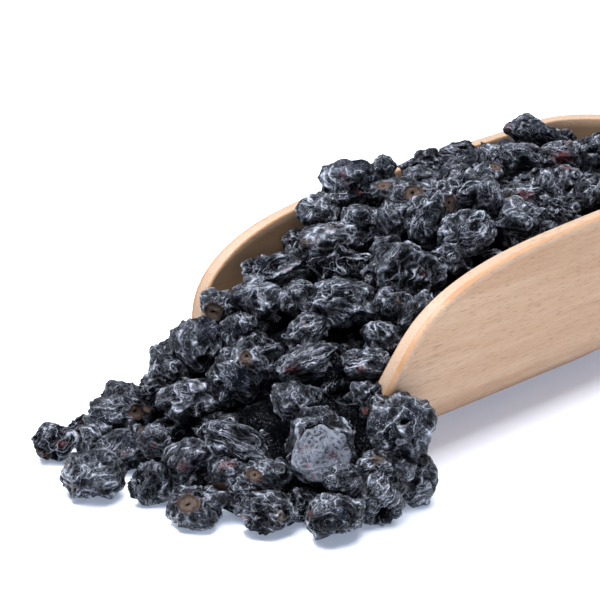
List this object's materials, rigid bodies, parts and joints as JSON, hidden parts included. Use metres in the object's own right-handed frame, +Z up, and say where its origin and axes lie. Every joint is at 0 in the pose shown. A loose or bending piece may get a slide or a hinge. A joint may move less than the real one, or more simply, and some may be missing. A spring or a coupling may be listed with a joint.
{
  "type": "scoop of dried blackcurrants",
  "caption": "Carved beech scoop lying on its foot, heaped with dried blackcurrants that spill out of its mouth onto the surface.",
  "frame": {"origin": "middle of the planed foot under the bowl, on the surface that the scoop lies on", "axes": "+X from the scoop's mouth to its handle, +Y to its far side, +Z up"},
  "size_m": [0.1828, 0.0531, 0.0374],
  "materials": {
    "beech": "sanded and lightly oiled",
    "dried_currants": "shrivelled berry skin, satin"
  },
  "bodies": {
    "root": {"scoop": "beech", "currants_in_scoop": "dried_currants", "currants_spilled": "dried_currants"}
  },
  "joints": []
}
